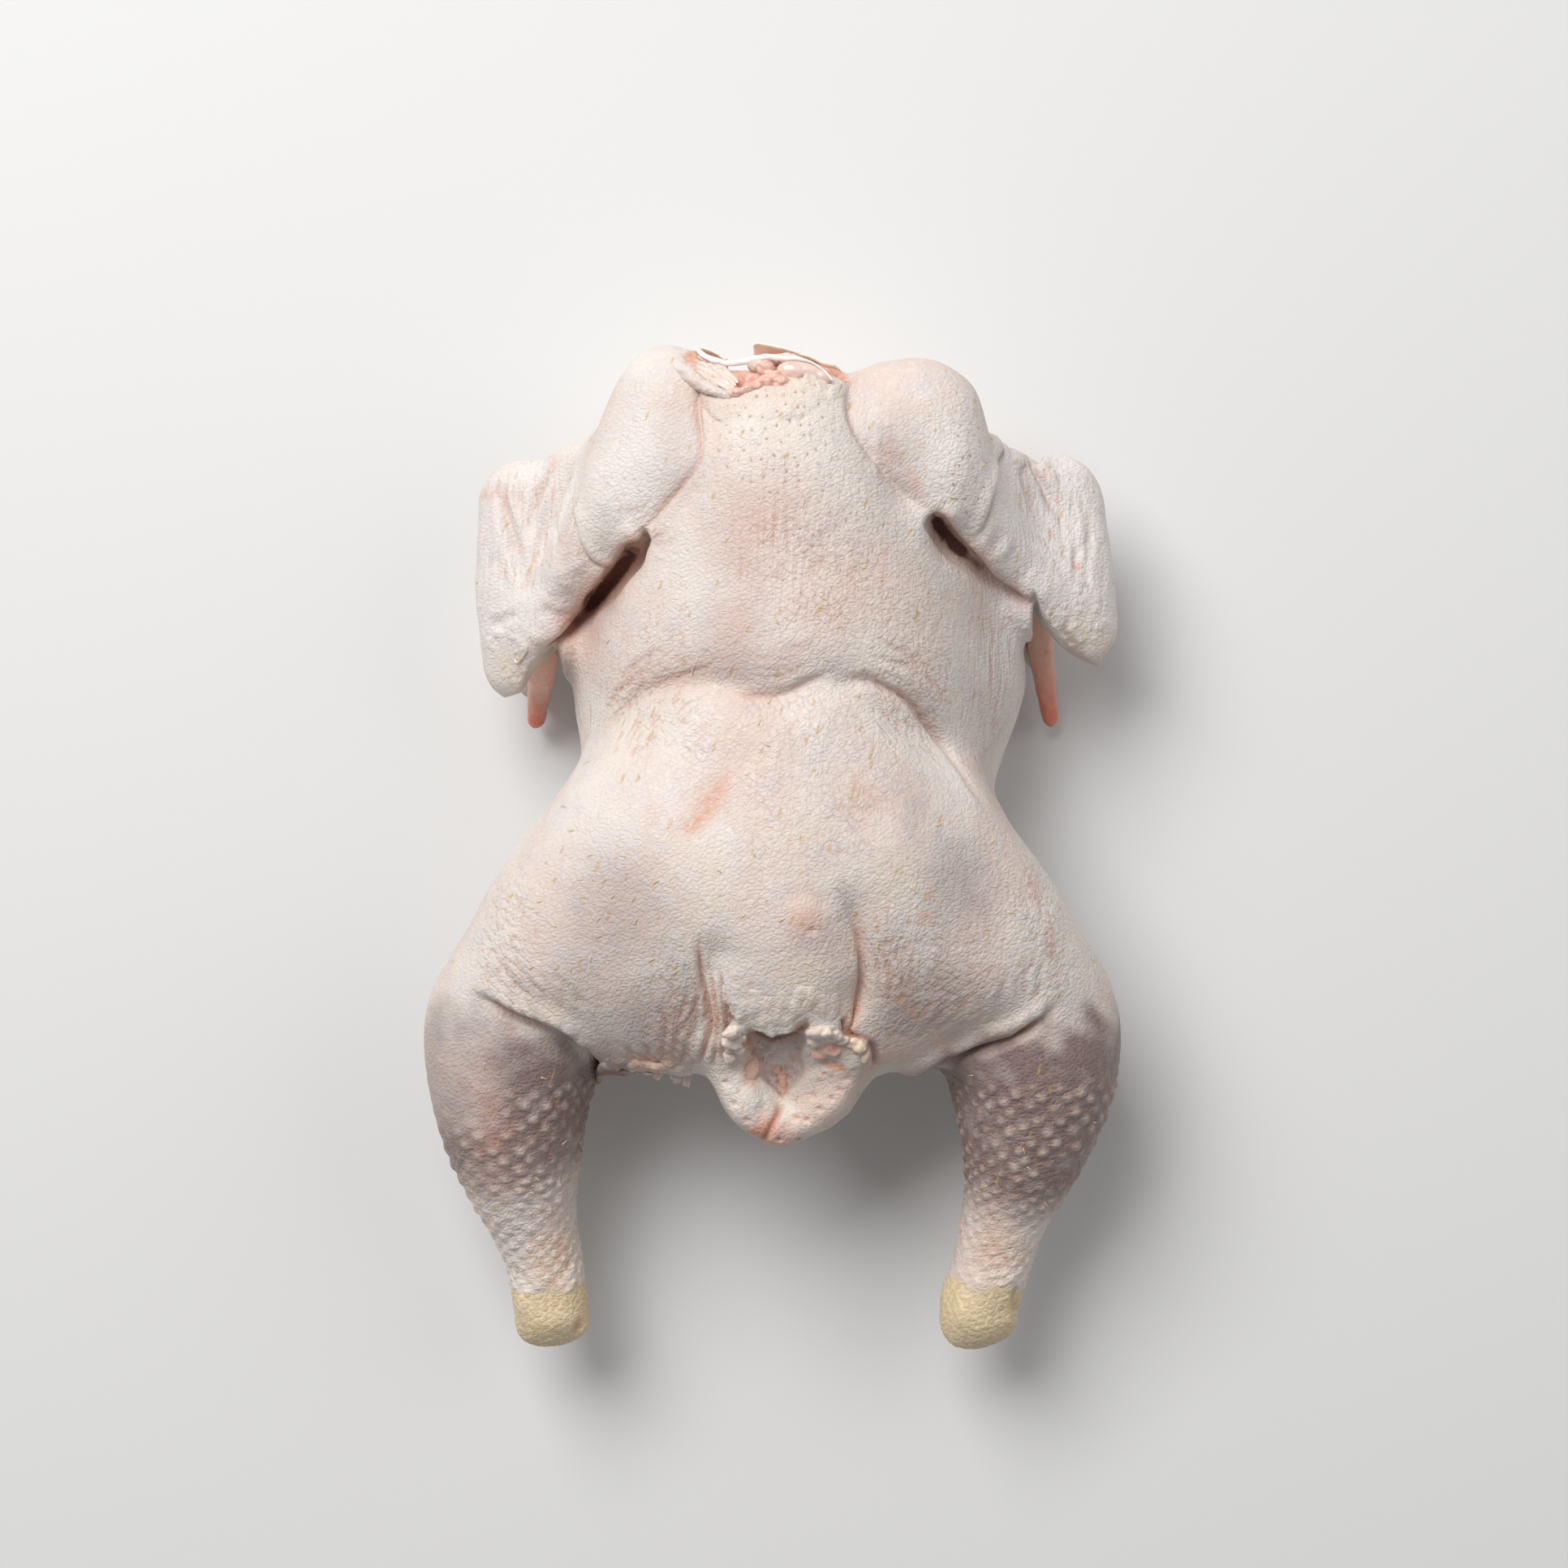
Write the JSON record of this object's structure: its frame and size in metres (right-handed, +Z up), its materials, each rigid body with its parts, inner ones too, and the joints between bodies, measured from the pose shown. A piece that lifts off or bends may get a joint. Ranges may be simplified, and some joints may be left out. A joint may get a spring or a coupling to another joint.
{
  "type": "whole raw chicken",
  "caption": "Whole raw chicken, plucked and dressed, with skin on, lying on its breast with legs spread and wings folded.",
  "frame": {"origin": "on the surface that the bird lies on, under the middle of its length and width", "axes": "+Z up from the surface, +Y towards the cut neck, +X to the bird's right, which is the right seen from above"},
  "size_m": [0.229, 0.3304, 0.1162],
  "materials": {
    "skin": "moist, semi-gloss"
  },
  "bodies": {
    "root": {"chicken": "skin"}
  },
  "joints": []
}
